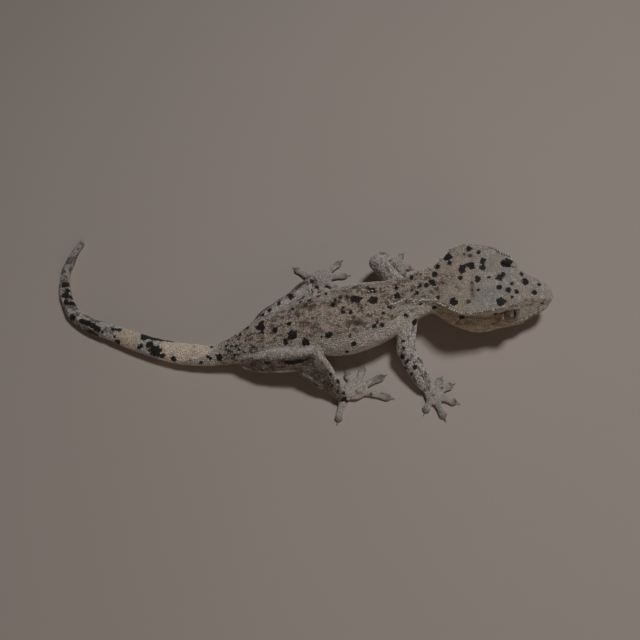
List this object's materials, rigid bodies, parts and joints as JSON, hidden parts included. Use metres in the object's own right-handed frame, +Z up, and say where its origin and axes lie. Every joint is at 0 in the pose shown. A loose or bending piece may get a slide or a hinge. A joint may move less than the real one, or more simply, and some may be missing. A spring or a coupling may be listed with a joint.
{
  "type": "crested gecko, still model",
  "caption": "Life-size still model of a young crested gecko resting flat on its feet, head low, tail laid in a hook.",
  "frame": {"origin": "middle of the whole model's box, on the floor that its soles and tail rest on", "axes": "+X from the hips toward the head, along the model's longest extent; +Y toward the animal's left; +Z up"},
  "size_m": [0.112, 0.066, 0.0135],
  "materials": {
    "skin": "matte, finely granular",
    "eye": "glossy, wet",
    "claw": "smooth horn"
  },
  "bodies": {
    "root": {"claw_front_left_1": "claw", "claw_front_left_2": "claw", "claw_front_left_3": "claw", "claw_front_left_4": "claw", "claw_front_left_5": "claw", "claw_front_right_1": "claw", "claw_front_right_2": "claw", "claw_front_right_3": "claw", "claw_front_right_4": "claw", "claw_front_right_5": "claw", "claw_hind_left_1": "claw", "claw_hind_left_2": "claw", "claw_hind_left_3": "claw", "claw_hind_left_4": "claw", "claw_hind_left_5": "claw", "claw_hind_right_1": "claw", "claw_hind_right_2": "claw", "claw_hind_right_3": "claw", "claw_hind_right_4": "claw", "claw_hind_right_5": "claw", "eye_left": "eye", "eye_right": "eye", "foot_hind_left": "skin", "foot_hind_right": "skin", "forearm_front_left": "skin", "forearm_front_right": "skin", "hand_front_left": "skin", "hand_front_right": "skin", "head": "skin", "hips": "skin", "lower_jaw": "skin", "neck": "skin", "shin_hind_left": "skin", "shin_hind_right": "skin", "tail_base": "skin", "tail_middle": "skin", "tail_tip": "skin", "thigh_hind_left": "skin", "thigh_hind_right": "skin", "trunk": "skin", "upper_arm_front_left": "skin", "upper_arm_front_right": "skin"}
  },
  "joints": []
}
